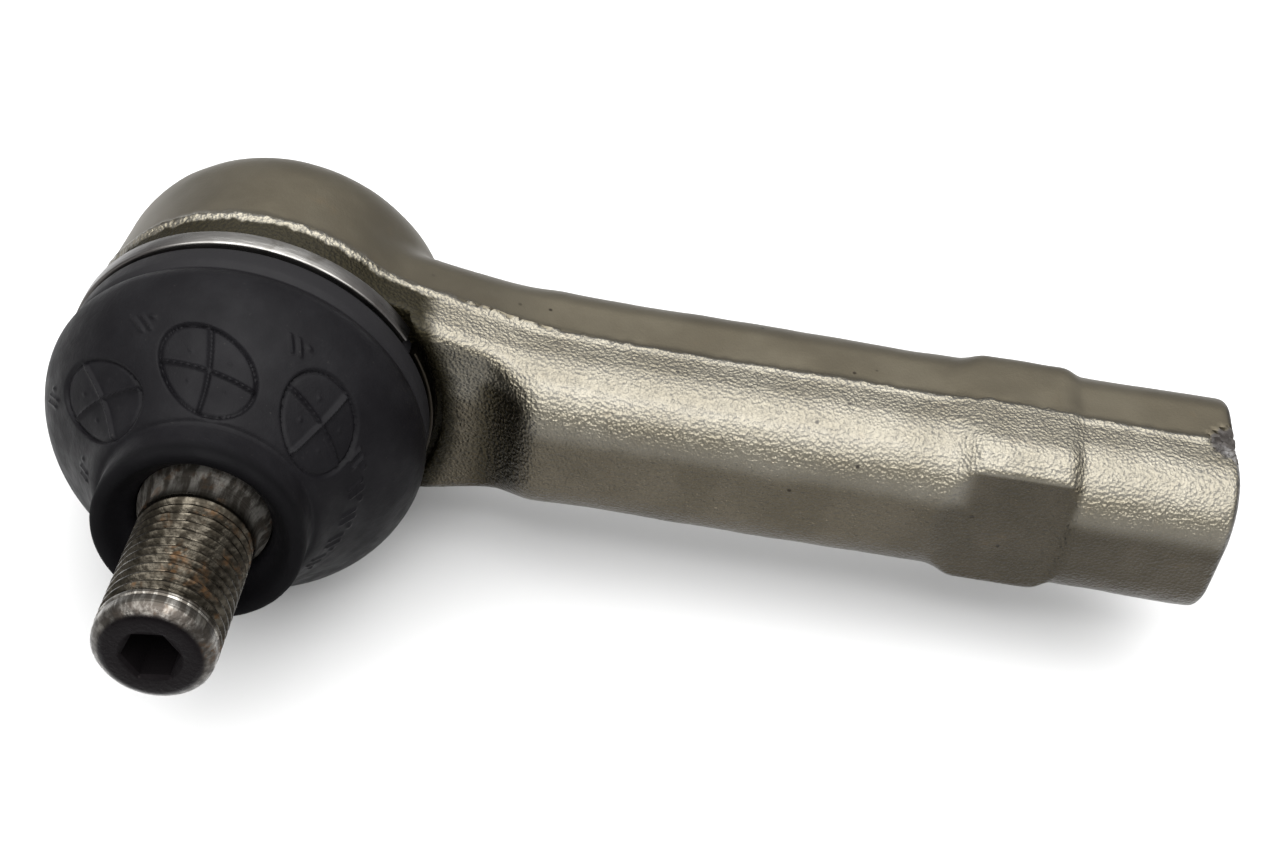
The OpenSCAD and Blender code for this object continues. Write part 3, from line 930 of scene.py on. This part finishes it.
def make_floor():
    """A pale floor under the lowest point of the part."""
    level = cad_box[0][2] - FLOOR_GAP
    corners = ((-1, -1), (1, -1), (1, 1), (-1, 1))
    mesh = bpy.data.meshes.new("floor")
    mesh.from_pydata([(sx * FLOOR_HALF, sy * FLOOR_HALF, level) for sx, sy in corners],
                     [], [(0, 1, 2, 3)])
    floor = bpy.data.objects.new("floor", mesh)
    bpy.context.scene.collection.objects.link(floor)
    paper = Paint("pale_paper", 0.0, Roughness=0.9, Specular_IOR_Level=0.1)
    wear(floor, paper.finish(paper.mix(paper.noise(0.02, 2), (0.36, 0.36, 0.36), (0.37, 0.37, 0.37))))


def make_light(name, stand, target, size, power):
    """A rectangular soft light aimed at a point."""
    data = bpy.data.lights.new(name, "AREA")
    data.shape = "RECTANGLE"
    data.size, data.size_y = size
    data.energy = power
    light = bpy.data.objects.new(name, data)
    bpy.context.scene.collection.objects.link(light)
    light.location = stand
    light.rotation_euler = (Vector(target) - Vector(stand)).to_track_quat("-Z", "Y").to_euler()


def make_world():
    """A broad soft light overhead and in front, over weaker light from all round."""
    world = bpy.data.worlds.new("studio")
    world.use_nodes = True
    tree = world.node_tree
    direction = tree.nodes.new("ShaderNodeTexCoord").outputs["Generated"]
    split = tree.nodes.new("ShaderNodeSeparateXYZ")
    tree.links.new(direction, split.inputs[0])
    all_round = smooth_ramp(tree, split.outputs["Z"], 0.1, 0.7, 0.5, 1.2)
    toward = tree.nodes.new("ShaderNodeVectorMath")
    toward.operation = "DOT_PRODUCT"
    toward.inputs[1].default_value = (0.0, -math.cos(SKY_RISE), math.sin(SKY_RISE))
    tree.links.new(direction, toward.inputs[0])
    overhead = smooth_ramp(tree, toward.outputs["Value"], math.cos(SKY_EDGE), math.cos(SKY_CORE),
                           0.0, SKY_STRENGTH)
    total = tree.nodes.new("ShaderNodeMath")
    tree.links.new(all_round, total.inputs[0])
    tree.links.new(overhead, total.inputs[1])
    background = tree.nodes["Background"]
    background.inputs["Color"].default_value = (1, 1, 1, 1)
    tree.links.new(total.outputs[0], background.inputs["Strength"])
    bpy.context.scene.world = world


def make_camera():
    """The camera, rolled a little so that the shank runs down to the right."""
    forward = (CAMERA_TARGET - CAMERA_PLACE).normalized()
    right = forward.cross(Vector((0, 0, 1))).normalized()
    down = forward.cross(right)
    image_right = math.cos(CAMERA_ROLL) * right + math.sin(CAMERA_ROLL) * down
    image_up = math.sin(CAMERA_ROLL) * right - math.cos(CAMERA_ROLL) * down
    data = bpy.data.cameras.new("camera")
    data.lens, data.sensor_width, data.clip_start = CAMERA_LENS, 36.0, 0.01
    camera = bpy.data.objects.new("camera", data)
    bpy.context.scene.collection.objects.link(camera)
    turn = Matrix((image_right, image_up, -forward)).transposed().to_4x4()
    camera.matrix_world = Matrix.Translation(CAMERA_PLACE) @ turn
    bpy.context.scene.camera = camera


make_floor()
make_light("key", (0.02, -0.42, 0.66), (0.04, 0, 0), (0.28, 0.14), 1.6)
make_world()
make_camera()
bpy.context.scene.view_settings.view_transform = "Standard"
